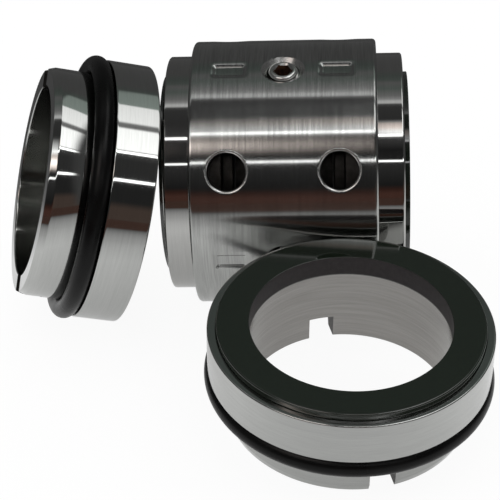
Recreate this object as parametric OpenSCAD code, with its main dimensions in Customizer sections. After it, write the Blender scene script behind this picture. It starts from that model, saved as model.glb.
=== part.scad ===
// Double component mechanical seal for a 45 mm shaft, laid out on a bench.
// The rotary unit lies on its side: a drive shell with a solid centre web, and in each end of it
// a spring-loaded seal ring with its black face, its thrust ring and its shaft O-ring.
// One stationary seat stands at the left end of it, the other leans towards its front.
// Origin: on the shaft axis, at the middle of the web. +X runs along the shaft, +Z is up.

/* [Shaft] */
// Diameter of the shaft that the seal fits
shaft_d = 45; // [44.8:0.1:45.2]
// Clearance on diameter between the shaft and the centre web
shaft_play = 0.1; // [0.1:0.05:0.2]

/* [Drive shell] */
// Outside diameter of the drive shell
shell_d = 67; // [66.8:0.1:67.4]
// Length of the drive shell along the shaft
shell_length = 46; // [45.6:0.2:46.8]
// Thickness of the shell's wall
shell_wall = 2.9; // [2.8:0.05:3]
// Length of the solid web in the middle, which holds the springs and the set screws
web_length = 15; // [14:0.5:15.5]
// Length of the web's hub, which sits on the shaft
hub_length = 24; // [22:0.5:24]
// Radius of the rounded outer edges
shell_edge_r = 1.4; // [1:0.1:1.6]
// Length of the lip that is rolled in at each end and holds the seal ring
lip_length = 1; // [0.8:0.1:1.2]

/* [Flush holes and drive dents] */
// Bore of each flush hole
flush_d = 9.1; // [8.6:0.1:9.4]
// Diameter of the chamfer round each flush hole
flush_chamfer_d = 10.5; // [10.2:0.1:10.8]
// Distance of each row of flush holes from the middle
flush_x = 13.65; // [13.4:0.05:13.8]
// Clock angle of the first flush hole, from the top towards the front
flush_clock = 62.9; // [60:0.1:64]
// Distance of each drive dent from the middle
dent_x = 13.2; // [13:0.1:13.4]
// Length of the dent's floor along the shaft
dent_length = 7.5; // [7:0.1:7.6]
// Width of the dent's floor round the shell
dent_width = 4.4; // [4:0.1:4.6]
// Depth of the dent below the shell's surface
dent_depth = 1.2; // [1:0.1:1.4]

/* [Set screws] */
// Thread size of the set screws
screw_d = 8; // [7.8:0.1:8]
// Length of each set screw
screw_length = 8; // [7.5:0.1:8.2]
// Width across the flats of the socket
socket_af = 4; // [3.8:0.1:4]
// Diameter of the chamfer round each tapped hole
tap_chamfer_d = 10.8; // [10.4:0.1:11]
// Clock angle of the first set screw and of the dents, from the top towards the front
screw_clock = 14.3; // [13:0.1:18]

/* [Springs] */
// Outside diameter of each spring
spring_d = 3.4; // [3.2:0.1:3.5]
// Diameter of the spring wire
wire_d = 0.7; // [0.6:0.05:0.75]
// Distance of each spring from the shaft axis
spring_pitch_r = 25.3; // [25.2:0.05:25.4]
// Number of half turns in each spring
half_turns = 11; // [10:1:12]

/* [Seal rings] */
// Diameter of the seal ring where it leaves the shell
carrier_d = 59.6; // [59.4:0.1:59.7]
// Distance of the seal ring's metal end from the middle
carrier_x = 29.5; // [29:0.1:30]
// Distance of the black face from the middle
face_x = 30.8; // [30.4:0.1:31]
// Outside diameter of the narrow black face
face_d = 50; // [49.6:0.1:50.4]
// How far each seal ring can be pushed in against its springs
face_travel = 3; // [2:0.1:3]

/* [Seats] */
// Outside diameter of the seat's flange
flange_d = 65.8; // [65.4:0.1:66]
// Length of the seat's flange
flange_length = 10.8; // [10.4:0.1:11.2]
// Diameter of the seat's nose, which goes into the gland
nose_d = 58; // [57.6:0.1:58.4]
// Length of the front seat's nose up to the flange
nose_length = 12.8; // [12.6:0.1:13]
// Length of the left seat's nose, which is a little longer
left_nose_length = 14.5; // [14.2:0.1:14.6]
// Bore of the seat's metal body
seat_bore_d = 48.4; // [48:0.1:48.8]
// Outside diameter of the black insert
insert_d = 61.7; // [61.5:0.1:62]
// Bore of the black insert
insert_bore_d = 46.5; // [46.2:0.1:46.8]
// How far the front seat's insert stands above its metal rim
insert_proud = 1.6; // [1.2:0.1:1.8]
// How far the left seat's insert does
left_insert_proud = 0.1; // [0.1:0.1:0.3]
// Thickness of the seat's O-ring
seat_ring_t = 5; // [4.8:0.1:5]
// Width of the two slots for the anti-rotation pin
slot_width = 6; // [5.6:0.1:6.4]
// Depth of those slots, from the nose end
slot_depth = 6; // [5.6:0.1:6.2]

/* [Seat places] */
// Front seat: position along the shaft
front_seat_x = 14.8; // [12:0.1:16]
// Front seat: distance of its nose end in front of the shaft axis
front_seat_y = 62.9; // [62.9:0.1:70]
// Front seat: lean of its axis out of the vertical
front_lean = 8.85; // [8:0.05:9]
// Front seat: heading of its lean, from +X
front_heading = -71.7; // [-75:0.1:-68]
// Left seat: distance of its nose end to the left of the middle
left_seat_x = 64.2; // [64.2:0.1:70]
// Left seat: distance of its nose end in front of the shaft axis
left_seat_y = 12.8; // [12:0.1:13.5]
// Left seat: dip of its face below the horizontal
left_dip = 16; // [15.5:0.1:16.5]
// Left seat: turn of its face towards the back
left_turn = 11.85; // [11.4:0.05:12.2]

/* [Hidden] */
$fn = 96;

// Colours
bright_steel = "#c4c4c4";
turned_steel = "#a6a6a4";
spring_steel = "#9a9a98";
black_carbide = "#1d221f";
black_rubber = "#141414";

// Shell and web
shell_r = shell_d / 2;
shell_bore_r = shell_r - shell_wall;
shell_half = shell_length / 2;
web_half = web_length / 2;
hub_half = hub_length / 2;
hub_r = 23.3;
web_bore_r = (shaft_d + shaft_play) / 2;
lip_bore_r = carrier_d / 2 + 0.3;
bench_z = -shell_r;
quarter = 90;
row_count = 4;

// Drive dents: the wall keeps its thickness, so each dent is a bump inside
dent_flank = 35;
dent_round = 0.8;
bump_length = dent_length - 1.5;
bump_width = dent_width - 1.2;
bump_flank = 30;
bump_tip_r = shell_bore_r - dent_depth - 0.2;
bump_rise = shell_bore_r - bump_tip_r;
bump_end_x = dent_x + bump_length / 2 + bump_rise * tan(bump_flank);

// Set screws
tap_play = 0.1;
screw_top_r = shell_r - 0.2;
socket_depth = 4;
screw_chamfer = 0.8;

// Seal rings: a shoulder inside the lip, a nose outside it
carrier_r = carrier_d / 2;
shoulder_r = shell_bore_r - 0.2;
shoulder_x = shell_half - lip_length - 0.1;
carrier_rear_x = 15;
carrier_bore_r = shaft_d / 2 + 0.4;
carrier_edge = 0.9;
ring_t = 3.5;
ring_r = shaft_d / 2 + 0.15 + ring_t / 2;
ring_seat_r = ring_r + ring_t / 2 + 0.05;
ring_x = 17.75;
ring_seat_x = ring_x + ring_t / 2 + 0.05;
key_width = bump_width + 2 * bump_rise * tan(bump_flank) + 0.7;
key_end_x = bump_end_x + face_travel + 0.3;
key_floor_r = bump_tip_r - 0.5;

// Black face of each seal ring: a wide body in the carrier, a narrow nose in front
face_r = face_d / 2;
face_bore_r = insert_bore_d / 2 + 0.05;
face_body_r = 27.2;
face_body_x = carrier_x - 5;
face_step_x = carrier_x - 0.5;

// Thrust ring between the springs and the shaft O-ring
thrust_x = 12.3;
thrust_r = 27.4;
thrust_bore_r = hub_r + 0.15;
thrust_spigot_r = 25.95;
thrust_spigot_x = ring_x - ring_t / 2 - 0.05;

// Springs
spring_count = 8;
coil_r = (spring_d - wire_d) / 2;
pocket_r = spring_d / 2 + 0.2;
coil_slope = 0.3;
half_rise = coil_slope * 2 * coil_r;
spring_length = half_turns * half_rise + wire_d;
pocket_x = thrust_x - spring_length;
spring_step = 360 / spring_count;

// Seats, with Z along the seat's own axis and zero at the nose end
flange_r = flange_d / 2;
nose_r = nose_d / 2;
seat_bore_r = seat_bore_d / 2;
insert_r = insert_d / 2;
insert_thickness = 5.5;
insert_edge = 0.4;
nose_lead_length = 1.8;
nose_lead = 0.6;
seat_edge = 0.3;
seat_ring_sink = 0.35;
seat_ring_r = nose_r - seat_ring_sink + seat_ring_t / 2;
front_seat_z = bench_z + (nose_r - nose_lead) * sin(front_lean);
left_seat_z = bench_z + flange_r * cos(left_dip) + (left_nose_length + flange_length - seat_edge) * sin(left_dip);
front_slot_turn = -2.8;
left_slot_turn = -28;

SPRING_NAMES = [for (side = ["left", "right"], i = [1 : spring_count]) str(side, "_spring_", i)];

// Turns a shape made round Z so that its axis lies along the shaft
module along_shaft() {
  rotate([0, 90, 0]) children();
}

// Sets a shape that points up at a clock angle round the shaft, and at x along it
module at_clock(angle, x = 0) {
  translate([x, 0, 0]) rotate([angle, 0, 0]) children();
}

// Draws a shape made for the right end, or its mirror image for the left end
module on_side(side) {
  mirror([side < 0 ? 1 : 0, 0, 0]) children();
}

// Stands the front seat on the front edge of its nose, leaning towards the shell
module front_seat_place() {
  translate([front_seat_x, -front_seat_y, front_seat_z]) rotate([0, front_lean, front_heading])
    rotate(front_slot_turn) children();
}

// Stands the left seat on the rim of its flange, leaning towards the left seal ring
module left_seat_place() {
  translate([-left_seat_x, -left_seat_y, left_seat_z]) rotate([0, 90 + left_dip, left_turn])
    rotate(left_slot_turn) children();
}

// Ring of rectangular section
module ring(outer_r, inner_r, z0, z1) {
  rotate_extrude() translate([inner_r, z0]) square([outer_r - inner_r, z1 - z0]);
}

// O-ring
module o_ring(centre_r, thickness) {
  rotate_extrude() translate([centre_r, 0]) circle(d = thickness);
}

// Section of a pressed trough: flat floor at y = 0, sloping flanks, rounded floor corners
module trough_section(width, depth, flank, round) {
  tangent = round / tan((90 + flank) / 2);
  half = width / 2;
  for (side = [0, 1]) mirror([side, 0]) {
    polygon([
      [0, 0],
      [half - tangent, 0],
      [half + tangent * sin(flank), tangent * cos(flank)],
      [half + depth * tan(flank), depth],
      [0, depth]
    ]);
    translate([half - tangent, round]) circle(round);
  }
}

// Trough-shaped block at the top of the shell, with its floor at floor_r, wider further out
module trough_block(length, width, floor_r, depth, flank) {
  intersection() {
    along_shaft() rotate_extrude() translate([floor_r, 0]) rotate(-90)
      trough_section(length, depth, flank, dent_round);
    translate([-length, 0, floor_r]) rotate([90, 0, 90]) linear_extrude(2 * length)
      trough_section(width, depth, flank, dent_round);
  }
}

// Calls its children at each of the eight drive dents
module at_dents() {
  for (side = [-1, 1], i = [0 : row_count - 1])
    at_clock(screw_clock + i * quarter, side * dent_x) children();
}

// Section of the shell, its web and its hub, with the rounded ends and the rolled lips
module shell_section() {
  difference() {
    union() {
      translate([shell_bore_r, -shell_half]) square([shell_wall, shell_length]);
      translate([web_bore_r, -web_half]) square([shell_r - web_bore_r - shell_wall / 2, web_length]);
      translate([web_bore_r, -hub_half]) square([hub_r - web_bore_r, hub_length]);
      for (side = [0, 1]) mirror([0, side])
        translate([lip_bore_r, shell_half - lip_length]) square([shell_wall, lip_length]);
    }
    for (side = [0, 1]) mirror([0, side]) translate([shell_r - shell_edge_r, shell_half - shell_edge_r])
      difference() {
        square(2 * shell_edge_r);
        circle(shell_edge_r);
      }
  }
}

// Straight hole through the wall, with a chamfer at the shell's surface
module chamfered_hole(hole_r, chamfer_r, bottom_r) {
  chamfer = chamfer_r - hole_r;
  translate([0, 0, bottom_r]) cylinder(h = shell_r + 1 - bottom_r, r = hole_r);
  translate([0, 0, shell_r - chamfer]) cylinder(h = 2 * chamfer, r1 = hole_r, r2 = hole_r + 2 * chamfer);
}

// Drive shell, turned in one piece with its centre web
module drive_shell() {
  color(bright_steel) difference() {
    union() {
      along_shaft() rotate_extrude() shell_section();
      at_dents() trough_block(bump_length, bump_width, bump_tip_r, bump_rise + 0.8, bump_flank);
    }
    at_dents() trough_block(dent_length, dent_width, shell_r - dent_depth, 2 * dent_depth, dent_flank);
    for (i = [0 : row_count - 1]) {
      for (side = [-1, 1]) at_clock(flush_clock + i * quarter, side * flush_x)
        chamfered_hole(flush_d / 2, flush_chamfer_d / 2, shell_bore_r - 2);
      at_clock(screw_clock + i * quarter)
        chamfered_hole((screw_d + tap_play) / 2, tap_chamfer_d / 2, web_bore_r - 1);
    }
    for (side = [-1, 1], i = [0 : spring_count - 1]) on_side(side)
      at_clock(spring_clock(i), pocket_x) translate([0, 0, spring_pitch_r]) along_shaft()
        cylinder(h = web_half + 1 - pocket_x, r = pocket_r);
  }
}

// Clock angle of spring i, counted from 0: two springs between each pair of set screws
function spring_clock(i) = screw_clock + spring_step * (i + 0.5);

// Set screw with a hexagon socket, at rest clear of the shaft
module set_screw(i) {
  color(bright_steel) at_clock(screw_clock + (i - 1) * quarter) translate([0, 0, screw_top_r - screw_length])
    difference() {
      union() {
        cylinder(h = screw_chamfer, r1 = screw_d / 2 - screw_chamfer, r2 = screw_d / 2);
        translate([0, 0, screw_chamfer]) cylinder(h = screw_length - 2 * screw_chamfer, d = screw_d);
        translate([0, 0, screw_length - screw_chamfer])
          cylinder(h = screw_chamfer, r1 = screw_d / 2, r2 = screw_d / 2 - screw_chamfer);
      }
      translate([0, 0, screw_length - socket_depth])
        cylinder(h = socket_depth + 1, d = socket_af / cos(30), $fn = 6);
    }
}

// Coil spring of tilted half turns, each of which ends where the next one starts
module coil_spring(side, i) {
  color(spring_steel) on_side(side) at_clock(spring_clock(i - 1), pocket_x)
    translate([0, 0, spring_pitch_r]) along_shaft()
      for (k = [0 : half_turns - 1])
        translate([0, 0, wire_d / 2 + half_rise * (k + 0.5)]) rotate(180 * k) rotate([0, asin(coil_slope), 0])
          rotate_extrude(angle = 180) translate([coil_r, 0]) circle(d = wire_d, $fn = 24);
}

// Thrust ring: a flange for the springs and a spigot that backs the shaft O-ring
module thrust_ring(side) {
  color(bright_steel) on_side(side) along_shaft() {
    ring(thrust_r, thrust_bore_r, thrust_x, carrier_rear_x);
    ring(thrust_spigot_r, thrust_bore_r, carrier_rear_x - 0.5, thrust_spigot_x);
  }
}

// O-ring between the seal ring and the shaft
module shaft_oring(side) {
  color(black_rubber) on_side(side) translate([ring_x, 0, 0]) along_shaft() o_ring(ring_r, ring_t);
}

// Seal ring carrier: a shoulder held by the lip, four keyways for the dents, a seat for the face
module ring_carrier(side) {
  color(turned_steel) on_side(side) difference() {
    along_shaft() difference() {
      union() {
        ring(shoulder_r, carrier_bore_r, carrier_rear_x, shoulder_x);
        ring(carrier_r, carrier_bore_r, shoulder_x - 1, carrier_x - carrier_edge);
        translate([0, 0, carrier_x - carrier_edge])
          cylinder(h = carrier_edge, r1 = carrier_r, r2 = carrier_r - carrier_edge);
      }
      translate([0, 0, carrier_rear_x - 1]) cylinder(h = ring_seat_x - carrier_rear_x + 1, r = ring_seat_r);
      translate([0, 0, face_body_x]) cylinder(h = carrier_x - face_body_x + 1, r = face_body_r);
      translate([0, 0, ring_seat_x - 1]) cylinder(h = carrier_x, r = carrier_bore_r);
    }
    for (i = [0 : row_count - 1]) at_clock(screw_clock + i * quarter, carrier_rear_x - 1)
      translate([0, -key_width / 2, key_floor_r]) cube([key_end_x - carrier_rear_x + 1, key_width, 5]);
  }
}

// Black face, shrunk into the carrier
module ring_face(side) {
  color(black_carbide) on_side(side) along_shaft() {
    ring(face_body_r, face_bore_r, face_body_x, face_step_x);
    ring(face_r, face_bore_r, face_step_x - 0.5, face_x);
  }
}

// Height of the insert's floor in a seat with this nose and this height of the insert
function insert_floor(nose, proud) = nose + flange_length + proud - insert_thickness;

// Section of the seat's metal body
module seat_section(nose, proud) {
  top_z = nose + flange_length;
  floor_z = insert_floor(nose, proud);
  difference() {
    polygon([
      [seat_bore_r, 0],
      [nose_r - nose_lead, 0],
      [nose_r, nose_lead_length],
      [nose_r, nose],
      [flange_r - seat_edge, nose],
      [flange_r, nose + seat_edge],
      [flange_r, top_z - seat_edge],
      [flange_r - seat_edge, top_z],
      [insert_r + seat_edge, top_z],
      [insert_r, top_z - seat_edge],
      [insert_r, floor_z],
      [seat_bore_r, floor_z]
    ]);
    translate([seat_ring_r, nose - seat_ring_t / 2]) circle(d = seat_ring_t);
  }
}

// Metal body of a seat, with two slots across its nose end
module seat_body(nose, proud) {
  color(bright_steel) difference() {
    rotate_extrude() seat_section(nose, proud);
    translate([-nose_r - 1, -slot_width / 2, -1]) cube([2 * nose_r + 2, slot_width, slot_depth + 1]);
  }
}

// Black insert of a seat, shrunk into the flange, with its lapped face on top
module seat_insert(nose, proud) {
  color(black_carbide) translate([0, 0, insert_floor(nose, proud)]) rotate_extrude() polygon([
    [insert_bore_d / 2, 0],
    [insert_r, 0],
    [insert_r, insert_thickness - insert_edge],
    [insert_r - insert_edge, insert_thickness],
    [insert_bore_d / 2, insert_thickness]
  ]);
}

// O-ring of a seat, in the corner between nose and flange
module seat_oring(nose) {
  color(black_rubber) translate([0, 0, nose - seat_ring_t / 2]) o_ring(seat_ring_r, seat_ring_t);
}

drive_shell();
for (i = [1 : row_count]) set_screw(i);
for (i = [1 : spring_count]) coil_spring(-1, i);
for (i = [1 : spring_count]) coil_spring(1, i);
thrust_ring(-1);  // left_thrust_ring
shaft_oring(-1);  // left_shaft_oring
ring_carrier(-1);  // left_ring_carrier
ring_face(-1);  // left_ring_face
thrust_ring(1);  // right_thrust_ring
shaft_oring(1);  // right_shaft_oring
ring_carrier(1);  // right_ring_carrier
ring_face(1);  // right_ring_face
left_seat_place() seat_body(left_nose_length, left_insert_proud);  // left_seat_body
left_seat_place() seat_insert(left_nose_length, left_insert_proud);  // left_seat_insert
left_seat_place() seat_oring(left_nose_length);  // left_seat_oring
front_seat_place() seat_body(nose_length, insert_proud);  // front_seat_body
front_seat_place() seat_insert(nose_length, insert_proud);  // front_seat_insert
front_seat_place() seat_oring(nose_length);  // front_seat_oring
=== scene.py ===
"""Double component mechanical seal on a white bench: drive shell, sprung seal rings, two seats."""

import math

import bmesh
import bpy
from mathutils import Matrix, Vector


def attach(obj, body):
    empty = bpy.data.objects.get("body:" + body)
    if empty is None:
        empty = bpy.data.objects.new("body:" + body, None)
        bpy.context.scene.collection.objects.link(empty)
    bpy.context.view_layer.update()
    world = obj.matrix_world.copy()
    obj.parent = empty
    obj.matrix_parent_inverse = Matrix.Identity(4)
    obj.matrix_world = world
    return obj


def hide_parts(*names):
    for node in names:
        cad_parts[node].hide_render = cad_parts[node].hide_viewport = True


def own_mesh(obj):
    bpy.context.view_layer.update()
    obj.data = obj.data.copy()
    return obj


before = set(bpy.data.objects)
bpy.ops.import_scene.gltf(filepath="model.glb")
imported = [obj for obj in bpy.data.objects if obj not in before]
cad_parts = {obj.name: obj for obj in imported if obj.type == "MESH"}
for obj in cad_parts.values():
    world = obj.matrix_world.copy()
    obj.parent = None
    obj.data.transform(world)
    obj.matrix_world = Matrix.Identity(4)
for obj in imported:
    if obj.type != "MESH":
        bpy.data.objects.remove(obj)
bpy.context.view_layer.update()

MM = 0.001

# Drive shell, in millimetres as in the part's source
SHELL_R = 33.5
SHELL_BORE_R = 30.6
SHELL_HALF = 23.0
LIP_START = 22.0
LIP_BORE_R = 30.1
WEB_HALF = 7.5
WEB_BORE_R = 22.55
HUB_HALF = 12.0
HUB_R = 23.3
FLUSH_CLOCK = 62.9
FLUSH_X = 13.65
FLUSH_HOLE_R = 4.55
SCREW_CLOCK = 14.3
TAPPED_HOLE_R = 4.05
COUNTERSINK_R = 32.15
DENT_X = 13.2
DENT_DEPTH = 0.68
SPRING_CLOCK = SCREW_CLOCK + 22.5
SPRING_PITCH_R = 25.3
SPRING_HOLE_R = 1.9
SPRING_START = 2.69
WIRE_R = 0.35
COIL_R = 1.35
COIL_PITCH = 1.62
COIL_TURNS = 5.5
SCREW_TOP_R = 33.3
SCREW_LENGTH = 8.0
SOCKET_R = 2.31
SOCKET_DEPTH = 4.0
BENCH_Z = -33.5

# Half of a dent's flat floor along and across, and how far its shoulders run out
DENT_FLOOR = (3.4, 1.5)
DENT_SHOULDER = (1.5, 1.7)
# Where along the shaft the shell's mesh is close: round the dents, and round their bumps inside
DENT_BAND = (6.9, 19.5)
BUMP_BAND = (8.5, 18.5)
SHELL_STEPS = 432

ENDS = ((-1, "left"), (1, "right"))

# Seats: along the axis from the nose end, in millimetres
NOSE_R = 29.0
LEAD_IN = 0.6
FRONT_NOSE = 12.8
LEFT_NOSE = 14.5
FLANGE_R = 32.9
FLANGE_LENGTH = 10.8
SEAT_BORE_R = 24.2
INSERT_R = 30.85
INSERT_BORE_R = 23.25
INSERT_LENGTH = 5.5
FRONT_PROUD = 1.6
LEFT_PROUD = 0.1
SEAT_RING_R = 31.15
SLOT_HALF = 3.0
SLOT_DEPTH = 6.0


def place(x, y, z, lean, heading, turn):
    """Matrix of a seat that stands at x, y, z with its axis leaning over towards a heading."""
    return (
        Matrix.Translation(Vector((x, y, z)) * MM)
        @ Matrix.Rotation(math.radians(heading), 4, "Z")
        @ Matrix.Rotation(math.radians(lean), 4, "Y")
        @ Matrix.Rotation(math.radians(turn), 4, "Z")
    )


FRONT_LEAN = 8.85
LEFT_DIP = 16.0
FRONT_SEAT = place(
    14.8,
    -62.9,
    BENCH_Z + (NOSE_R - LEAD_IN) * math.sin(math.radians(FRONT_LEAN)),
    FRONT_LEAN,
    -71.7,
    -2.8,
)
LEFT_SEAT = place(
    -64.2,
    -12.8,
    BENCH_Z
    + FLANGE_R * math.cos(math.radians(LEFT_DIP))
    + (LEFT_NOSE + FLANGE_LENGTH - 0.3) * math.sin(math.radians(LEFT_DIP)),
    90 + LEFT_DIP,
    11.85,
    -28,
)

# Turns a shape made round the shaft axis so that its axis points up
UPRIGHT = Matrix.Rotation(math.radians(-90), 4, "Y")


# Making the pieces

def clock_angle(spot):
    """Degrees round the shaft of a spot: 0 on top, 90 in front."""
    return math.degrees(math.atan2(-spot.y, spot.z))


def from_nearest(angle, first):
    """Degrees to the nearest of four places a quarter turn apart, the first at a clock angle."""
    return (angle - first + 45) % 90 - 45


def off_axis(spot):
    """How far a spot lies from the X axis."""
    return math.hypot(spot.y, spot.z)


def clock(angle, x=0.0, radius=0.0):
    """Matrix that puts a shape made round Z at a clock angle round the shaft, pointing outwards."""
    return (
        Matrix.Translation((x * MM, 0, 0))
        @ Matrix.Rotation(math.radians(angle), 4, "X")
        @ Matrix.Translation((0, 0, radius * MM))
    )


def supported(corners):
    """Adds a point close behind each rounding, so that the long faces beside it shade flat."""
    points = []
    for (x0, r0, round0), (x1, r1, round1) in zip(corners, corners[1:] + corners[:1]):
        points.append((x0, r0, round0))
        length = math.hypot(x1 - x0, r1 - r0)
        if length > 1.6:
            for away, rounding in ((round0 + 0.2, round0), (length - round1 - 0.2, round1)):
                if rounding:
                    part = away / length
                    points.append((x0 + (x1 - x0) * part, r0 + (r1 - r0) * part, 0))
    return points


def outline(corners, segments=5):
    """Closed section in the XZ plane. Each corner is (x, radius, rounding)."""
    corners = supported(corners)
    shape = bmesh.new()
    ring = [shape.verts.new((x * MM, 0, radius * MM)) for x, radius, _ in corners]
    for first, second in zip(ring, ring[1:] + ring[:1]):
        shape.edges.new((first, second))
    for vert, (_, _, rounding) in zip(ring, corners):
        if rounding:
            bmesh.ops.bevel(
                shape, geom=[vert], offset=rounding * MM, offset_type="OFFSET", affect="VERTICES",
                segments=segments, profile=0.5, material=-1, clamp_overlap=True,
            )
    return shape


def turned(corners, steps):
    """Spins a closed section once round the shaft axis."""
    shape = outline(corners)
    spin_whole(shape, (1, 0, 0), steps)
    return shape


def spin_whole(shape, axis, steps):
    """Spins everything in the bmesh once round an axis through the origin and closes the seam."""
    bmesh.ops.spin(
        shape, geom=shape.verts[:] + shape.edges[:], cent=(0, 0, 0), axis=axis,
        angle=math.tau, steps=steps, use_merge=True, use_duplicate=False,
    )
    bmesh.ops.remove_doubles(shape, verts=shape.verts, dist=1e-7)
    bmesh.ops.recalc_face_normals(shape, faces=shape.faces)


def plug(corners, matrix, steps=96):
    """Spins an open section (radius, z) from the axis back to the axis into a solid, and places it."""
    shape = bmesh.new()
    line = [shape.verts.new((radius * MM, 0, z * MM)) for radius, z in corners]
    for first, second in zip(line, line[1:]):
        shape.edges.new((first, second))
    spin_whole(shape, (0, 0, 1), steps)
    bmesh.ops.transform(shape, matrix=matrix, verts=shape.verts)
    return shape


def block(low, high, matrix):
    """Rectangular block between two corners, placed."""
    shape = bmesh.new()
    size = Vector(high) - Vector(low)
    middle = (Vector(high) + Vector(low)) / 2
    bmesh.ops.create_cube(shape, size=1.0)
    bmesh.ops.scale(shape, vec=size * MM, verts=shape.verts)
    bmesh.ops.translate(shape, vec=middle * MM, verts=shape.verts)
    bmesh.ops.transform(shape, matrix=matrix, verts=shape.verts)
    return shape


def coil(section, radius, pitch, turns, steps_per_turn):
    """Winds a closed section (out, along) into a coil round the X axis, with both ends closed."""
    shape = bmesh.new()
    ring = [shape.verts.new((along * MM, 0, (radius + out) * MM)) for out, along in section]
    for first, second in zip(ring, ring[1:] + ring[:1]):
        shape.edges.new((first, second))
    steps = round(turns * steps_per_turn)
    wound = bmesh.ops.spin(
        shape, geom=shape.verts[:] + shape.edges[:], cent=(0, 0, 0), axis=(1, 0, 0),
        dvec=(pitch * MM / steps_per_turn, 0, 0), angle=math.tau * turns, steps=steps,
        use_merge=False, use_duplicate=False,
    )
    shape.faces.new(ring)
    shape.faces.new([item for item in wound["geom_last"] if isinstance(item, bmesh.types.BMVert)])
    bmesh.ops.recalc_face_normals(shape, faces=shape.faces)
    return shape


def joined(shapes):
    """Puts several bmeshes into one and frees them."""
    whole = bmesh.new()
    for shape in shapes:
        part = bpy.data.meshes.new("part")
        shape.to_mesh(part)
        shape.free()
        whole.from_mesh(part)
        bpy.data.meshes.remove(part)
    return whole


def piece(name, shape, sharp=30):
    """Makes the object of a finished bmesh, smooth apart from edges sharper than the angle."""
    mesh = bpy.data.meshes.new(name)
    shape.to_mesh(mesh)
    shape.free()
    made = bpy.data.objects.new(name, mesh)
    bpy.context.scene.collection.objects.link(made)
    mesh.polygons.foreach_set("use_smooth", [True] * len(mesh.polygons))
    mesh.set_sharp_from_angle(angle=math.radians(sharp))
    return made


def discard(made):
    """Removes an object and its mesh."""
    mesh = made.data
    bpy.data.objects.remove(made)
    bpy.data.meshes.remove(mesh)


def cut(target, shapes, solver="EXACT"):
    """Takes the shapes out of the target's mesh."""
    cutter = piece("cutter", joined(shapes))
    boolean = target.modifiers.new("cut", "BOOLEAN")
    boolean.operation = "DIFFERENCE"
    boolean.solver = solver
    boolean.object = cutter
    shown = target.evaluated_get(bpy.context.evaluated_depsgraph_get())
    mesh = bpy.data.meshes.new_from_object(shown)
    old = target.data
    target.modifiers.clear()
    target.data = mesh
    mesh.name = target.name
    bpy.data.meshes.remove(old)
    discard(cutter)
    mesh.polygons.foreach_set("use_smooth", [True] * len(mesh.polygons))
    mesh.set_sharp_from_angle(angle=math.radians(28))


def fit(made, material, body, slot, *nodes):
    """Gives a piece its material and body, and hides the CAD solids that it stands for."""
    made.data.materials.clear()
    made.data.materials.append(material)
    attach(made, body)
    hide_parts(*nodes)


def other_material(made, material, test):
    """Gives the faces whose centre, in millimetres, and normal pass the test another material."""
    made.data.materials.append(material)
    for face in made.data.polygons:
        if test(face.center / MM, face.normal):
            face.material_index = len(made.data.materials) - 1


# Materials

def linear(code):
    """Linear colour of an sRGB hex value."""
    channels = [int(code[i : i + 2], 16) / 255 for i in (1, 3, 5)]
    return [c / 12.92 if c <= 0.04045 else ((c + 0.055) / 1.055) ** 2.4 for c in channels] + [1.0]


def add(tree, kind, settings=None, inputs=None):
    """Adds a node, gives it its settings and sets or links its inputs."""
    made = tree.nodes.new(kind)
    for name, value in (settings or {}).items():
        if name == "stops":
            ramp = made.color_ramp
            while len(ramp.elements) < len(value):
                ramp.elements.new(1.0)
            for element, (position, colour) in zip(ramp.elements, value):
                element.position = position
                element.color = colour
        else:
            setattr(made, name, value)
    for name, value in (inputs or {}).items():
        if isinstance(value, bpy.types.NodeSocket):
            tree.links.new(value, made.inputs[name])
        else:
            made.inputs[name].default_value = value
    return made


def new_material(name):
    """Empty material with its output node."""
    made = bpy.data.materials.new(name)
    made.use_nodes = True
    made.node_tree.nodes.clear()
    return made, made.node_tree, add(made.node_tree, "ShaderNodeOutputMaterial")


def grey(level):
    """Linear grey of a given brightness."""
    return (level, level, level, 1.0)


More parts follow.
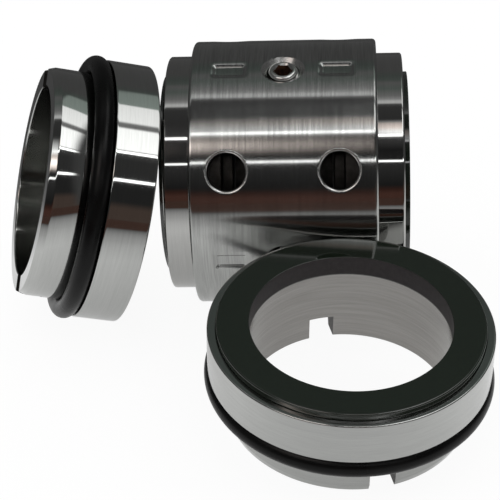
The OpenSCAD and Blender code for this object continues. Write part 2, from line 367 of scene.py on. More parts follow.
def turned_steel(name, code, seat=None, *, roughness, lines, streaks, depth, along=0.0):
    """Stainless steel off the lathe: fine tool lines run round the axis, so that reflections stay
    crisp round it and spread along it, by as much as along says, from 0 to 1. The tool advances
    about 0.1 mm a turn, too fine to show; lines gives the spacing in millimetres of the drawn ones.
    Streaks is how far they darken the steel, and depth how deep they are, in millimetres."""
    material, tree, output = new_material(name)
    coords = add(tree, "ShaderNodeTexCoord").outputs["Object"]
    axis, spot = Vector((1, 0, 0)), Vector((0, 0, 0))
    if seat is not None:
        spot, turn, _ = (seat @ UPRIGHT).decompose()
        axis = turn @ axis
    from_axis = add(
        tree, "ShaderNodeVectorMath", {"operation": "SUBTRACT"}, {0: coords, 1: spot}
    ).outputs[0]
    round_axis = add(
        tree, "ShaderNodeVectorMath", {"operation": "CROSS_PRODUCT"}, {0: axis, 1: from_axis}
    ).outputs[0]
    round_axis = add(
        tree, "ShaderNodeVectorMath", {"operation": "NORMALIZE"}, {0: round_axis}
    ).outputs[0]
    if seat is not None:
        coords = add(
            tree, "ShaderNodeMapping", {"vector_type": "TEXTURE"},
            {"Vector": coords, "Location": spot, "Rotation": turn.to_euler()},
        ).outputs["Vector"]
    # Noise stretched out round the axis draws the lines, with broader bands among them
    drawn = add(
        tree, "ShaderNodeMapping", None, {"Vector": coords, "Scale": (1.0, 0.03, 0.03)}
    ).outputs["Vector"]
    fine = add(
        tree, "ShaderNodeTexNoise", None,
        {"Vector": drawn, "Scale": 1 / (lines * MM), "Detail": 2.0, "Roughness": 0.6},
    ).outputs["Fac"]
    broad = add(
        tree, "ShaderNodeTexNoise", None,
        {"Vector": drawn, "Scale": 1 / (lines * 7 * MM), "Detail": 2.0, "Roughness": 0.5},
    ).outputs["Fac"]
    # Faint handling marks, a few millimetres across
    marks = add(
        tree, "ShaderNodeTexNoise", None,
        {"Vector": coords, "Scale": 180.0, "Detail": 5.0, "Roughness": 0.65},
    ).outputs["Fac"]
    mixed = add(
        tree, "ShaderNodeMath", {"operation": "MULTIPLY_ADD"}, {0: fine, 1: 0.75, 2: 0.0}
    ).outputs[0]
    mixed = add(
        tree, "ShaderNodeMath", {"operation": "MULTIPLY_ADD"}, {0: broad, 1: 0.25, 2: mixed}
    ).outputs[0]
    tone = add(
        tree, "ShaderNodeMapRange", None,
        {
            "Value": mixed, "From Min": 0.3, "From Max": 0.7,
            "To Min": 1 - streaks, "To Max": 1 + streaks * 0.5,
        },
    ).outputs["Result"]
    colour = add(
        tree, "ShaderNodeMix", {"data_type": "RGBA", "blend_type": "MULTIPLY"},
        {"Factor": 1.0, 6: linear(code), 7: tone},
    ).outputs[2]
    dullness = add(
        tree, "ShaderNodeMapRange", None,
        {
            "Value": marks, "From Min": 0.35, "From Max": 0.75,
            "To Min": roughness, "To Max": roughness * 1.15,
        },
    ).outputs["Result"]
    bump = add(
        tree, "ShaderNodeBump", None, {"Height": mixed, "Strength": 1.0, "Distance": depth * MM}
    ).outputs["Normal"]
    steel = add(
        tree, "ShaderNodeBsdfPrincipled", None,
        {
            "Base Color": colour, "Metallic": 1.0, "Roughness": dullness, "Normal": bump,
            "Anisotropic": along, "Anisotropic Rotation": 0.25, "Tangent": round_axis,
        },
    )
    tree.links.new(steel.outputs[0], output.inputs["Surface"])
    return material


# Outside of the shell: satin along the shaft, so each light smears into a streaked band
shell_steel = turned_steel(
    "turned stainless steel shell", "#aeafad",
    roughness=0.15, lines=0.3, streaks=0.24, depth=0.0006, along=0.97,
)
# Carriers: ground after turning, so close to a mirror
ring_steel = turned_steel(
    "ground stainless steel ring", "#b0b0ae", roughness=0.05, lines=0.25, streaks=0.08, depth=0.001
)
# Seats: a last fine cut, so reflections keep their shape round the seat and soften along it
front_steel = turned_steel(
    "fine turned stainless steel front seat", "#b0b1af", FRONT_SEAT,
    roughness=0.1, lines=0.25, streaks=0.08, depth=0.0003, along=0.8,
)
left_steel = turned_steel(
    "fine turned stainless steel left seat", "#b0b1af", LEFT_SEAT,
    roughness=0.06, lines=0.25, streaks=0.08, depth=0.0005, along=0.6,
)
# Seat bores: bored with a coarser feed, so duller than the outside; the front one painted darker as
# shade in its bore, the left one painted lighter than the outside as light in its bore
front_bore_shaded = turned_steel(
    "bored stainless steel front seat", "#9c9a97", FRONT_SEAT,
    roughness=0.14, lines=0.4, streaks=0.15, depth=0.0005, along=0.9,
)
left_bore_lit = turned_steel(
    "bored stainless steel left seat", "#d2d3cf", LEFT_SEAT,
    roughness=0.09, lines=0.4, streaks=0.1, depth=0.0003, along=0.8,
)
# Set screws: cold formed and tumbled, so softly bright
screw_steel = turned_steel(
    "bright stainless steel screw", "#c8c8c6", roughness=0.2, lines=0.2, streaks=0.1, depth=0.001
)
# Hole edges: broken by hand with a deburring tool, so they glint in a soft light, and painted lighter
# than the shell's steel as a highlight
edge_steel_highlit = turned_steel(
    "deburred stainless steel edge", "#c8c8c6", roughness=0.24, lines=0.25, streaks=0.1, depth=0.001
)


def two_tones(name, scale, detail, dark, light, finish):
    """Material that wanders between two close tones, each given as its place in a noise and its
    colour. The noise's scale is in spots a metre, and finish holds the shader's other values."""
    material, tree, output = new_material(name)
    coords = add(tree, "ShaderNodeTexCoord").outputs["Object"]
    spots = add(
        tree, "ShaderNodeTexNoise", None, {"Vector": coords, "Scale": scale, "Detail": detail}
    ).outputs["Fac"]
    stops = [(place_in_noise, linear(code)) for place_in_noise, code in (dark, light)]
    tone = add(tree, "ShaderNodeValToRGB", {"stops": stops}, {"Fac": spots}).outputs["Color"]
    surface = add(tree, "ShaderNodeBsdfPrincipled", None, {"Base Color": tone, **finish})
    tree.links.new(surface.outputs[0], output.inputs["Surface"])
    return material


# Spring wire of drawn stainless steel: a dull grey skin with draw lines too fine to show
wire_steel = two_tones(
    "drawn stainless steel wire", 2500.0, 3.0, (0.3, "#7d7c78"), (0.7, "#a09f9a"),
    {"Metallic": 1.0, "Roughness": 0.3},
)
# Steel as a rough cut leaves it, inside the shell, on the thrust rings and in the slots, painted near
# black as the shade in these hollows, and patchy in spots 2.5 mm across
shaded_rough_steel = two_tones(
    "rough machined stainless steel with painted shade", 400.0, 3.0, (0.3, "#2b2a28"), (0.7, "#403e3c"),
    {"Metallic": 1.0, "Roughness": 0.42},
)
# Bore of the silicon carbide insert: ground only, so dull, and browner than the lapped face, in
# patches 1 mm across
ground_carbide = two_tones(
    "ground silicon carbide", 900.0, 4.0, (0.35, "#241f20"), (0.65, "#2c2728"),
    {"Roughness": 0.5, "Specular IOR Level": 0.3},
)
# Inside of the screw's socket: punched steel painted dark brown as the shade in the socket, patchy
# from millimetre to millimetre
socket_shade = two_tones(
    "steel socket with painted shade", 900.0, 3.0, (0.35, "#1d120c"), (0.65, "#5a3d2c"),
    {"Metallic": 0.3, "Roughness": 0.45},
)


def lapped_carbide():
    """Sintered silicon carbide, lapped flat: black with a green cast, a mirror at low angles, and
    pores of a few hundredths of a millimetre, drawn at 0.3 mm so that they show at all."""
    material, tree, output = new_material("lapped silicon carbide")
    coords = add(tree, "ShaderNodeTexCoord").outputs["Object"]
    grain = add(
        tree, "ShaderNodeTexNoise", None, {"Vector": coords, "Scale": 3000.0, "Detail": 3.0}
    ).outputs["Fac"]
    stops = [(0.35, linear("#151a14")), (0.65, linear("#191f18"))]
    tone = add(tree, "ShaderNodeValToRGB", {"stops": stops}, {"Fac": grain}).outputs["Color"]
    dullness = add(
        tree, "ShaderNodeMapRange", None,
        {"Value": grain, "From Min": 0.3, "From Max": 0.7, "To Min": 0.03, "To Max": 0.07},
    ).outputs["Result"]
    carbide = add(
        tree, "ShaderNodeBsdfPrincipled", None, {"Base Color": tone, "Roughness": dullness, "IOR": 1.75}
    )
    tree.links.new(carbide.outputs[0], output.inputs["Surface"])
    return material


def moulded_rubber():
    """Fluoroelastomer O-ring: black, with the satin skin of the mould and a little dust."""
    material, tree, output = new_material("moulded fluoroelastomer")
    coords = add(tree, "ShaderNodeTexCoord").outputs["Object"]
    skin = add(
        tree, "ShaderNodeTexNoise", None,
        {"Vector": coords, "Scale": 2500.0, "Detail": 4.0, "Roughness": 0.6},
    ).outputs["Fac"]
    patches = add(
        tree, "ShaderNodeTexNoise", None, {"Vector": coords, "Scale": 90.0, "Detail": 3.0}
    ).outputs["Fac"]
    stops = [(0.35, linear("#060606")), (0.7, linear("#0c0c0c"))]
    tone = add(tree, "ShaderNodeValToRGB", {"stops": stops}, {"Fac": patches}).outputs["Color"]
    dullness = add(
        tree, "ShaderNodeMapRange", None,
        {"Value": patches, "From Min": 0.3, "From Max": 0.7, "To Min": 0.24, "To Max": 0.34},
    ).outputs["Result"]
    bump = add(
        tree, "ShaderNodeBump", None, {"Height": skin, "Strength": 0.3, "Distance": 0.02 * MM}
    ).outputs["Normal"]
    rubber = add(
        tree, "ShaderNodeBsdfPrincipled", None,
        {"Base Color": tone, "Roughness": dullness, "Specular IOR Level": 0.14, "Normal": bump},
    )
    tree.links.new(rubber.outputs[0], output.inputs["Surface"])
    return material


carbide = lapped_carbide()
rubber = moulded_rubber()


# Drive shell

def dent_sink(spot):
    """How far a drive dent presses the shell in at a spot, in millimetres: a flat floor with firm
    edges, and shoulders that run out softly into the surface."""
    along = abs(abs(spot.x) - DENT_X) - DENT_FLOOR[0]
    across = abs(math.radians(from_nearest(clock_angle(spot), SCREW_CLOCK))) * SHELL_R - DENT_FLOOR[1]
    past = math.hypot(max(along, 0) / DENT_SHOULDER[0], max(across, 0) / DENT_SHOULDER[1])
    return DENT_DEPTH * (1 - min(past, 1.0)) ** 2


# Corners as (x, radius, rounding); the bands for the dents have points of their own
shell_section = [
    (-SHELL_HALF, SHELL_R, 0.9),
    (-DENT_BAND[1], SHELL_R, 0), (-DENT_BAND[0], SHELL_R, 0),
    (DENT_BAND[0], SHELL_R, 0), (DENT_BAND[1], SHELL_R, 0),
    (SHELL_HALF, SHELL_R, 0.9),
    (SHELL_HALF, LIP_BORE_R, 0.2), (LIP_START, LIP_BORE_R, 0), (LIP_START, SHELL_BORE_R, 0),
    (BUMP_BAND[1], SHELL_BORE_R, 0), (BUMP_BAND[0], SHELL_BORE_R, 0),
    (WEB_HALF, SHELL_BORE_R, 0), (WEB_HALF, HUB_R, 0),
    (HUB_HALF, HUB_R, 0.2), (HUB_HALF, WEB_BORE_R, 0.2),
    (-HUB_HALF, WEB_BORE_R, 0.2), (-HUB_HALF, HUB_R, 0.2),
    (-WEB_HALF, HUB_R, 0), (-WEB_HALF, SHELL_BORE_R, 0),
    (-BUMP_BAND[0], SHELL_BORE_R, 0), (-BUMP_BAND[1], SHELL_BORE_R, 0),
    (-LIP_START, SHELL_BORE_R, 0), (-LIP_START, LIP_BORE_R, 0), (-SHELL_HALF, LIP_BORE_R, 0.2),
]


def rough_and_shaded(spot, normal):
    """Whether a face lies in the bore, on the web or in a hole, but not on a drive dent: the faces
    painted dark as shade.
    """
    if off_axis(spot) < SHELL_BORE_R + 0.1:
        return True
    return off_axis(spot) < 32.7 and abs(spot.x) < 19 and dent_sink(spot) <= 0.3


def on_hole_edge(spot, normal):
    """Whether a face lies on the rounded edge of a flush hole or on the countersink of a tapped one."""
    radius = off_axis(spot)
    outwards = (normal.y * spot.y + normal.z * spot.z) / radius
    if radius < COUNTERSINK_R - 0.05 or outwards > 0.985:
        return False
    for first, x, reach in ((FLUSH_CLOCK, FLUSH_X, 5.5), (SCREW_CLOCK, 0.0, 6.6)):
        across = math.radians(from_nearest(clock_angle(spot), first)) * radius
        if math.hypot(abs(spot.x) - x, across) < reach:
            return True
    return False


def surface_following(shape):
    """Bends a cutter made at the top of the shell down at both sides, as the surface falls away."""
    for vert in shape.verts:
        vert.co.z -= SHELL_R * MM - math.sqrt((SHELL_R * MM) ** 2 - vert.co.y ** 2)


def drive_shell():
    """Turned shell with its web, pressed dents, flush and tapped holes, and spring pockets."""
    shape = outline(shell_section, 8)
    # The dents need a close mesh: 0.35 mm along the shaft outside, 0.6 mm on the bumps inside
    for (low, high), radius, spacing in ((DENT_BAND, SHELL_R, 0.35), (BUMP_BAND, SHELL_BORE_R, 0.6)):
        long_edges = [
            edge for edge in shape.edges
            if edge.verts[0].co.x * edge.verts[1].co.x > 0
            and all(abs(vert.co.z - radius * MM) < 1e-7 for vert in edge.verts)
            and all(low - 0.01 < abs(vert.co.x) / MM < high + 0.01 for vert in edge.verts)
        ]
        bmesh.ops.subdivide_edges(shape, edges=long_edges, cuts=round((high - low) / spacing) - 1)
    spin_whole(shape, (1, 0, 0), SHELL_STEPS)
    for vert in shape.verts:
        spot = vert.co / MM
        radius = off_axis(spot)
        if DENT_BAND[0] < abs(spot.x) < DENT_BAND[1] and radius > SHELL_BORE_R - 0.01:
            sink = dent_sink(spot)
            if radius < SHELL_R - 0.01:
                # The bump inside is a little smaller across than the dent and stands 0.8 mm proud
                sink = max(sink - 0.1, 0) * 1.4
            vert.co.y *= (radius - sink) / radius
            vert.co.z *= (radius - sink) / radius
    made = piece("drive_shell_turned", shape)

    holes = []
    for quarter in range(4):
        for side in (-1, 1):
            # Straight hole whose edge is rounded by 0.75 mm
            hole = plug(
                [(0, 27.0), (FLUSH_HOLE_R, 27.0), (FLUSH_HOLE_R, 32.75), (4.62, 33.03), (4.78, 33.27),
                 (5.02, 33.44), (5.3, SHELL_R), (5.3, 35.5), (0, 35.5)],
                Matrix.Identity(4),
            )
            surface_following(hole)
            bmesh.ops.transform(
                hole, matrix=clock(FLUSH_CLOCK + 90 * quarter, side * FLUSH_X), verts=hole.verts
            )
            holes.append(hole)
        holes.append(plug(
            [(0, 21.5), (TAPPED_HOLE_R, 21.5), (TAPPED_HOLE_R, COUNTERSINK_R), (6.1, 34.2), (0, 34.2)],
            clock(SCREW_CLOCK + 90 * quarter),
        ))
    for side in (-1, 1):
        for number in range(8):
            holes.append(plug(
                [(0, SPRING_START), (SPRING_HOLE_R, SPRING_START), (SPRING_HOLE_R, 8.5), (0, 8.5)],
                clock(SPRING_CLOCK + 45 * number, 0, SPRING_PITCH_R)
                @ Matrix.Rotation(math.radians(90 * side), 4, "Y"),
                32,
            ))
    cut(made, holes, "MANIFOLD")
    fit(made, shell_steel, "root", "shell_steel", "drive_shell")
    # The shell's bore, web and hole walls take the steel painted near black as shade
    other_material(made, shaded_rough_steel, rough_and_shaded)
    # The hole edges take the lighter steel, a painted highlight
    other_material(made, edge_steel_highlit, on_hole_edge)


drive_shell()


def set_screw(number):
    """Socket set screw: rounded rim, hexagon socket painted dark brown as shade, and its M8 thread."""
    angle = SCREW_CLOCK + 90 * (number - 1)
    body = plug(
        [(0, 0), (2.9, 0), (3.55, 0.7), (3.55, 7.2), (3.5, 7.45), (3.3, 7.75), (3.0, 7.93),
         (2.7, SCREW_LENGTH), (0, SCREW_LENGTH)],
        Matrix.Identity(4), 72,
    )
    blank = piece("screw_blank", body)
    floor = SCREW_LENGTH - SOCKET_DEPTH
    hexagon = plug([(0, floor), (SOCKET_R, floor), (SOCKET_R, 8.3), (0, 8.3)], Matrix.Identity(4), 6)
    cut(blank, [hexagon])
    cone = plug([(0, 7.55), (2.1, 7.55), (2.75, 8.2), (0, 8.2)], Matrix.Identity(4), 72)
    cut(blank, [cone])
    shape = bmesh.new()
    shape.from_mesh(blank.data)
    discard(blank)
    thread = coil([(-0.1, -0.55), (0.45, -0.08), (0.45, 0.08), (-0.1, 0.55)], 3.55, 1.25, 4.8, 48)
    bmesh.ops.transform(thread, matrix=UPRIGHT, verts=thread.verts)
    bmesh.ops.translate(thread, vec=(0, 0, 0.95 * MM), verts=thread.verts)
    whole = joined([shape, thread])
    bmesh.ops.transform(whole, matrix=clock(angle, 0, SCREW_TOP_R - SCREW_LENGTH), verts=whole.verts)
    made = piece(f"set_screw_{number}_turned", whole)
    fit(made, screw_steel, f"screw_{number}", "screw_steel", f"set_screw_{number}")
    outwards = clock(angle).to_3x3() @ Vector((0, 0, 1))

    def in_socket(centre, normal):
        """Whether a face lies inside the hexagon socket."""
        height = centre.dot(outwards)
        off = (centre - outwards * height).length
        deep = SCREW_TOP_R - SOCKET_DEPTH - 0.1
        return off < SOCKET_R + 0.04 and deep < height < SCREW_TOP_R - 0.5

    # The socket's walls and floor are painted dark brown as shade
    other_material(made, socket_shade, in_socket)


for screw_number in range(1, 5):
    set_screw(screw_number)


# Springs

for side, end in ENDS:
    for number in range(1, 9):
        turns = [math.tau * k / 12 for k in range(12)]
        wire = [(WIRE_R * math.cos(turn), WIRE_R * math.sin(turn)) for turn in turns]
        wound = coil(wire, COIL_R, COIL_PITCH, COIL_TURNS, 24)
        bmesh.ops.translate(wound, vec=((SPRING_START + WIRE_R) * MM, 0, 0), verts=wound.verts)
        spot = Matrix.Rotation(math.radians(SPRING_CLOCK + 45 * (number - 1)), 4, "X")
        spot = spot @ Matrix.Translation((0, 0, SPRING_PITCH_R * MM))
        bmesh.ops.transform(wound, matrix=spot, verts=wound.verts)
        if side < 0:
            bmesh.ops.scale(wound, vec=(-1, 1, 1), verts=wound.verts)
            bmesh.ops.recalc_face_normals(wound, faces=wound.faces)
        spring = piece(f"{end}_spring_{number}_wound", wound)
        fit(spring, wire_steel, "root", "spring_steel", f"{end}_spring_{number}")
        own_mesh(spring)


# Seal rings

def mirrored(corners, side):
    """The section as drawn for the right end, or its mirror image for the left end."""
    return corners if side > 0 else [(-x, radius, rounding) for x, radius, rounding in corners]


def o_ring(x, radius, thick, sides):
    """Round section of an O-ring: its middle at x and a radius, thick from middle to skin."""
    turns = [math.tau * k / sides for k in range(sides)]
    return [(x + thick * math.sin(turn), radius + thick * math.cos(turn), 0) for turn in turns]


for side, end in ENDS:
    body = f"{end}_seal_ring"
    carrier = piece(f"{end}_ring_carrier_ground", turned(mirrored([
        (15.0, 30.4, 0.3), (21.9, 30.4, 0.2), (21.9, 29.8, 0), (29.5, 29.8, 0.6),
        (29.5, 27.2, 0.1), (24.5, 27.2, 0), (24.5, 22.9, 0.2), (19.55, 22.9, 0),
        (19.55, 26.2, 0), (15.0, 26.2, 0.2),
    ], side), 288))
    # Keyways that run over the shell's bumps
    low, high = sorted((13.0 * side, 20.49 * side))
    keyways = [
        block((low, -2.93, 28.4), (high, 2.93, 33.4), clock(SCREW_CLOCK + 90 * quarter))
        for quarter in range(4)
    ]
    cut(carrier, keyways)
    fit(carrier, ring_steel, body, "ring_steel", f"{end}_ring_carrier")
    # The carrier's part under the shell takes the steel painted near black as shade
    other_material(carrier, shaded_rough_steel, lambda centre, normal: abs(centre.x) < 20.6)

    face = piece(f"{end}_ring_face_lapped", turned(mirrored([
        (24.5, 27.2, 0), (29.0, 27.2, 0.15), (29.0, 25.0, 0), (30.8, 25.0, 0.15),
        (30.8, 23.3, 0.1), (24.5, 23.3, 0),
    ], side), 288))
    fit(face, carbide, body, "black_carbide", f"{end}_ring_face")

    thrust = piece(f"{end}_thrust_ring_ground", turned(mirrored([
        (12.3, 27.4, 0.25), (15.0, 27.4, 0.25), (15.0, 25.95, 0), (15.95, 25.95, 0.15),
        (15.95, HUB_R + 0.15, 0.15), (12.3, HUB_R + 0.15, 0.25),
    ], side), 240))
    # The thrust ring is painted near black as the shade deep inside the shell
    fit(thrust, shaded_rough_steel, body, "ring_steel", f"{end}_thrust_ring")

    shaft_ring = piece(f"{end}_shaft_oring_moulded", turned(o_ring(side * 17.75, 24.4, 1.75, 28), 160))
    fit(shaft_ring, rubber, body, "black_rubber", f"{end}_shaft_oring")


# Seats

def seat(end, spot, steel, bored, nose, proud):
    """Stationary seat: steel body with two slots in its nose, black insert and O-ring."""
    stand = spot @ UPRIGHT
    top = nose + FLANGE_LENGTH
    face = top + proud
    floor = face - INSERT_LENGTH
    shape = turned([
        (0, SEAT_BORE_R, 0.3), (0, NOSE_R - LEAD_IN, 0.15), (1.8, NOSE_R, 0.15),
        (nose - 4.4, NOSE_R, 0), (nose - 3.8, NOSE_R - 0.25, 0),
        (nose - 0.6, NOSE_R - 0.25, 0), (nose, NOSE_R + 0.3, 0),
        (nose, FLANGE_R, 0.3), (top, FLANGE_R, 0.35),
        (top, INSERT_R, 0.2), (floor, INSERT_R, 0), (floor, SEAT_BORE_R, 0.3),
    ], 384)
    body = piece(f"{end}_seat_body_turned", shape)
    cut(body, [block((-5.0, -SLOT_HALF, -40.0), (SLOT_DEPTH, SLOT_HALF, 40.0), Matrix.Identity(4))])
    fit(body, steel, "root", "seat_steel", f"{end}_seat_body")
    # The slot walls take the steel painted near black as shade
    other_material(
        body, shaded_rough_steel,
        lambda centre, normal: centre.x < SLOT_DEPTH + 0.05 and abs(centre.y) < SLOT_HALF + 0.05
        and abs(normal.x) + abs(normal.y) > 0.9,
    )
    # The bore takes the seat's bore steel: painted darker as shade on the front seat, lighter as light
    # on the left one
    other_material(
        body, bored,
        lambda centre, normal: off_axis(centre) < SEAT_BORE_R + 0.02 and abs(normal.x) < 0.1,
    )
    body.data.transform(stand)

    insert = turned([
        (floor, INSERT_BORE_R, 0.5), (floor, INSERT_R, 0),
        (face, INSERT_R, 0.4), (face, INSERT_BORE_R, 0.15),
    ], 384)
    insert = piece(f"{end}_seat_insert_lapped", insert)
    fit(insert, carbide, "root", "black_carbide", f"{end}_seat_insert")
    other_material(
        insert, ground_carbide,
        lambda centre, normal: off_axis(centre) < INSERT_BORE_R + 0.05 and centre.x > floor + 0.5,
    )
    insert.data.transform(stand)

    ring = turned(o_ring(nose - 2.5, SEAT_RING_R, 2.5, 48), 256)
    bmesh.ops.transform(ring, matrix=stand, verts=ring.verts)
    fit(piece(f"{end}_seat_oring_moulded", ring), rubber, "root", "black_rubber", f"{end}_seat_oring")


seat("left", LEFT_SEAT, left_steel, left_bore_lit, LEFT_NOSE, LEFT_PROUD)
seat("front", FRONT_SEAT, front_steel, front_bore_shaded, FRONT_NOSE, FRONT_PROUD)


# Studio

# Between these places along Y, in metres, the bench as the steel mirrors it is painted with light and
# shade: brown darkness in front, a pool of light round the object and darkness behind
SHEET_FRONT = -0.5
SHEET_BACK = 0.1


def bench_material():
    """White bench: as bright as the backdrop, with a soft shadow. Seen in the steel it glows instead
    with
    painted light and shade: brown darkness in front, a pool brighter than white round the object and
    darkness behind the object."""
    material, tree, output = new_material("white bench")
    path = add(tree, "ShaderNodeLightPath").outputs
    coords = add(tree, "ShaderNodeTexCoord").outputs["Object"]
    depth = add(tree, "ShaderNodeSeparateXYZ", None, {"Vector": coords}).outputs["Y"]
    reach = add(
        tree, "ShaderNodeMapRange", None,
        {"Value": depth, "From Min": SHEET_FRONT, "From Max": SHEET_BACK},
    ).outputs["Result"]
    # Painted light and shade for the bench in the steel: brown and dark in front, brighter than white
    # round the object, dark behind
    front_brown = [0.1, 0.056, 0.044, 1.0]
    stops = [
        (0.0, front_brown), (0.31, front_brown), (0.35, grey(0.2)), (0.45, grey(0.42)), (0.6, grey(0.75)),
        (0.7, grey(1.2)), (0.86, grey(1.1)), (0.93, grey(0.2)), (1.0, grey(0.08)),
    ]
    mirrored_light_and_shade = add(tree, "ShaderNodeValToRGB", {"stops": stops}, {"Fac": reach}).outputs["Color"]
    lit = add(tree, "ShaderNodeEmission", None, {"Color": grey(1.0), "Strength": 1.03}).outputs[0]
    paper = add(tree, "ShaderNodeBsdfDiffuse", None, {"Color": grey(0.95)}).outputs[0]
    plain = add(tree, "ShaderNodeMixShader", None, {"Fac": 0.1, 1: lit, 2: paper}).outputs[0]
    dim = add(tree, "ShaderNodeEmission", None, {"Color": mirrored_light_and_shade, "Strength": 1.0}).outputs[0]
    dim_paper = add(tree, "ShaderNodeBsdfDiffuse", None, {"Color": mirrored_light_and_shade}).outputs[0]
    mirrored_bench = add(
        tree, "ShaderNodeMixShader", None, {"Fac": 0.65, 1: dim, 2: dim_paper}
    ).outputs[0]
    shown = add(
        tree, "ShaderNodeMixShader", None, {"Fac": path["Is Glossy Ray"], 1: plain, 2: mirrored_bench}
    ).outputs[0]
    tree.links.new(shown, output.inputs["Surface"])
    return material


bench = bmesh.new()
bmesh.ops.create_grid(bench, x_segments=1, y_segments=1, size=4.0)
bmesh.ops.translate(bench, vec=(0, 0, BENCH_Z * MM), verts=bench.verts)
bench = piece("bench", bench)
bench.data.materials.append(bench_material())

# Strips of card and lamps in a dark studio, all running along the shaft, as (clock angle round the
# shaft, brightness, tint). The first set hangs right over the object, the others to its left, close
# to its right and far to its right. The left seat mirrors the far ones, the right ring the close
# ones, and the shell's tool lines scatter them all.
BROWN = "#ffb5a0"
DUST = "#ffdccb"
CLEAR = "#ffffff"
WARM = "#fff1ea"
GREEN = "#effff7"
UPPER = [
    (-112, 0.085, CLEAR), (-50, 0.095, CLEAR), (-40, 0.1, GREEN), (-34, 0.12, GREEN),
    (-30, 0.16, CLEAR), (-22, 0.16, GREEN), (-13, 0.25, CLEAR), (-9, 0.42, CLEAR),
    (-6.5, 0.8, CLEAR), (-4.5, 0.8, CLEAR), (-3, 0.12, CLEAR), (0, 0.06, CLEAR), (14, 0.05, CLEAR),
]
LOWER = [
    (54, 0.03, CLEAR), (54.3, 3.6, CLEAR), (55.7, 3.6, CLEAR), (56, 0.05, CLEAR), (78, 0.02, CLEAR),
    (82, 0.055, BROWN), (86, 0.1, BROWN), (98, 0.09, BROWN),
]
OVER_ALL = UPPER + [
    (28.4, 0.06, CLEAR), (28.7, 3.6, CLEAR), (30.9, 3.6, CLEAR), (31.2, 0.08, CLEAR), (36, 0.03, CLEAR),
] + LOWER
TO_LEFT = UPPER + [
    (17, 0.1, CLEAR), (20, 0.5, CLEAR), (26, 1.4, CLEAR), (30, 2.2, CLEAR), (34, 1.3, WARM),
    (36, 1.7, WARM), (38.5, 3.2, WARM), (41, 3.4, WARM), (44, 2.2, WARM), (48, 0.35, WARM),
    (50, 0.05, CLEAR),
] + LOWER
CLOSE_RIGHT = UPPER + [
    (16, 0.35, CLEAR), (18, 1.0, WARM), (22, 1.6, WARM), (26.5, 2.2, CLEAR), (28.5, 1.7, CLEAR),
    (28.7, 3.6, CLEAR), (30.9, 3.6, CLEAR), (31.2, 0.3, CLEAR), (34, 0.08, CLEAR), (44, 0.02, CLEAR),
] + LOWER
FAR_RIGHT = [
    (-112, 0.09, CLEAR), (-50, 0.1, CLEAR), (-43, 0.12, GREEN), (-40.5, 0.4, GREEN), (-25, 0.45, GREEN),
    (-24, 1.6, CLEAR), (-6, 1.8, CLEAR), (-4, 0.35, CLEAR), (0, 0.25, CLEAR), (2, 2.2, CLEAR),
    (23.5, 2.4, CLEAR), (24.2, 0.35, CLEAR), (24.9, 0.35, CLEAR), (25.2, 6.0, CLEAR), (26.8, 6.0, CLEAR),
    (27.1, 0.1, CLEAR), (34, 0.05, CLEAR), (52.4, 0.05, CLEAR), (52.8, 5.0, CLEAR), (54.8, 5.0, CLEAR),
    (55.2, 0.05, CLEAR), (61, 0.03, CLEAR), (74, 0.03, CLEAR), (80, 0.1, DUST), (98, 0.1, DUST),
]
# Where along the shaft each set starts to show and where it shows alone, in metres
WINDOWS = ((TO_LEFT, -0.37, -0.41), (CLOSE_RIGHT, 0.05, 0.07), (FAR_RIGHT, 0.7, 0.84))
# All cards fade out between these distances to both sides, into the darkness of the room
CARDS_FADE = 1.9
CARDS_END = 2.6
DARKNESS = 0.012

# The studio is a tube round the shaft axis, in metres and clock angles, closed at both ends
STUDIO_R = 3.0
STUDIO_HALF = 6.0
STUDIO_LOW = -112
STUDIO_HIGH = 98
# A ramp holds colours up to 1, so brightness is divided by this and given back by the lamp
STUDIO_TOP = 7.0


def strip_stops(strips):
    """Ramp stops from the strips, with the brightness brought under 1."""
    span = STUDIO_HIGH - STUDIO_LOW
    return [
        ((angle - STUDIO_LOW) / span, [level * c / STUDIO_TOP for c in linear(tint)[:3]] + [1.0])
        for angle, level, tint in strips
    ]


def studio_material():
    """Light that the strips give off, by clock angle and by the way along the shaft."""
    material, tree, output = new_material("studio strips")
    coords = add(tree, "ShaderNodeTexCoord").outputs["Object"]
    parts = add(tree, "ShaderNodeSeparateXYZ", None, {"Vector": coords}).outputs
    front = add(
        tree, "ShaderNodeMath", {"operation": "MULTIPLY"}, {0: parts["Y"], 1: -1.0}
    ).outputs[0]
    angle = add(
        tree, "ShaderNodeMath", {"operation": "ARCTAN2"}, {0: front, 1: parts["Z"]}
    ).outputs[0]
    place_on = add(
        tree, "ShaderNodeMapRange", None,
        {"Value": angle, "From Min": math.radians(STUDIO_LOW), "From Max": math.radians(STUDIO_HIGH)},
    ).outputs["Result"]
    mixed = add(
        tree, "ShaderNodeValToRGB", {"stops": strip_stops(OVER_ALL)}, {"Fac": place_on}
    ).outputs["Color"]
    for strips, near, far in WINDOWS:
        shown = add(
            tree, "ShaderNodeValToRGB", {"stops": strip_stops(strips)}, {"Fac": place_on}
        ).outputs["Color"]
        reach = add(
            tree, "ShaderNodeMapRange", {"interpolation_type": "SMOOTHSTEP"},
            {"Value": parts["X"], "From Min": near, "From Max": far},
        ).outputs["Result"]
        mixed = add(
            tree, "ShaderNodeMix", {"data_type": "RGBA"}, {"Factor": reach, 6: mixed, 7: shown}
        ).outputs[2]
    out = add(tree, "ShaderNodeMath", {"operation": "ABSOLUTE"}, {0: parts["X"]}).outputs[0]
    ends = add(
        tree, "ShaderNodeMapRange", {"interpolation_type": "SMOOTHSTEP"},
        {"Value": out, "From Min": CARDS_FADE, "From Max": CARDS_END},
    ).outputs["Result"]
    mixed = add(
        tree, "ShaderNodeMix", {"data_type": "RGBA"}, {"Factor": ends, 6: mixed, 7: grey(DARKNESS)}
    ).outputs[2]
    glow = add(tree, "ShaderNodeEmission", None, {"Color": mixed, "Strength": STUDIO_TOP})
    tree.links.new(glow.outputs[0], output.inputs["Surface"])
    return material


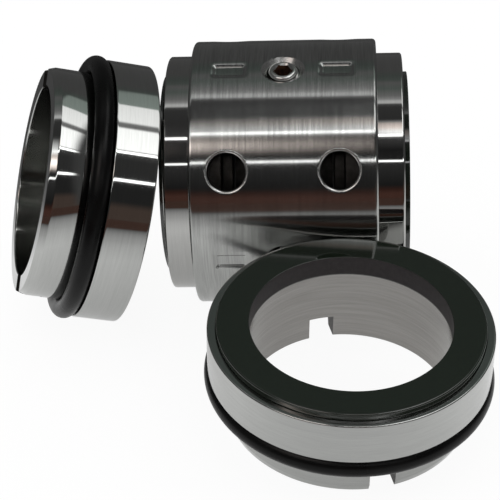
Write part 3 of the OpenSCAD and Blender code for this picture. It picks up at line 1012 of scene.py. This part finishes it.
studio = bmesh.new()
start = math.radians(STUDIO_LOW)
ends = [
    studio.verts.new((x, -STUDIO_R * math.sin(start), STUDIO_R * math.cos(start)))
    for x in (-STUDIO_HALF, STUDIO_HALF)
]
edge = studio.edges.new(ends)
bmesh.ops.spin(
    studio, geom=ends + [edge], cent=(0, 0, 0), axis=(1, 0, 0),
    angle=math.radians(STUDIO_HIGH - STUDIO_LOW), steps=210, use_merge=False, use_duplicate=False,
)
for x in (-STUDIO_HALF, STUDIO_HALF):
    bmesh.ops.create_circle(
        studio, cap_ends=True, segments=96, radius=STUDIO_R * 1.02,
        matrix=Matrix.Translation((x, 0, 0)) @ Matrix.Rotation(math.radians(90), 4, "Y"),
    )
studio = piece("studio_strips", studio)
studio.data.materials.append(studio_material())
studio.visible_camera = False
studio.visible_diffuse = False
studio.visible_transmission = False
studio.visible_volume_scatter = False
studio.visible_shadow = False

# World: a plain level on everything, white where it is looked at
world = bpy.data.worlds.new("white room")
bpy.context.scene.world = world
world.use_nodes = True
world.node_tree.nodes.clear()
room = world.node_tree
path = add(room, "ShaderNodeLightPath").outputs
seen = path["Is Camera Ray"]
for ray in ("Is Glossy Ray", "Is Transmission Ray"):
    seen = add(room, "ShaderNodeMath", {"operation": "MAXIMUM"}, {0: seen, 1: path[ray]}).outputs[0]
level = add(
    room, "ShaderNodeMapRange", None, {"Value": seen, "To Min": 0.8, "To Max": 1.0}
).outputs["Result"]
backdrop = add(room, "ShaderNodeBackground", None, {"Color": grey(1.0), "Strength": level})
add(room, "ShaderNodeOutputWorld", None, {"Surface": backdrop.outputs[0]})

# Camera: a long lens just under half a metre away, looking down on the seal from the front
camera = bpy.data.objects.new("camera", bpy.data.cameras.new("camera"))
bpy.context.scene.collection.objects.link(camera)
camera.data.sensor_fit = "HORIZONTAL"
camera.data.sensor_width = 36.0
camera.data.lens = 129.44
camera.data.clip_start = 0.01
camera.data.clip_end = 50.0
right = Vector((0.99831, 0.04270, -0.03942))
up = Vector((0.01293, 0.49826, 0.86693))
back = right.cross(up).normalized()
up = back.cross(right).normalized()
turn = Matrix((right.normalized(), up, back)).transposed()
camera.matrix_world = Matrix.Translation((0.016384, -0.412903, 0.213426)) @ turn.to_4x4()
bpy.context.scene.camera = camera

bpy.context.scene.view_settings.view_transform = "Standard"
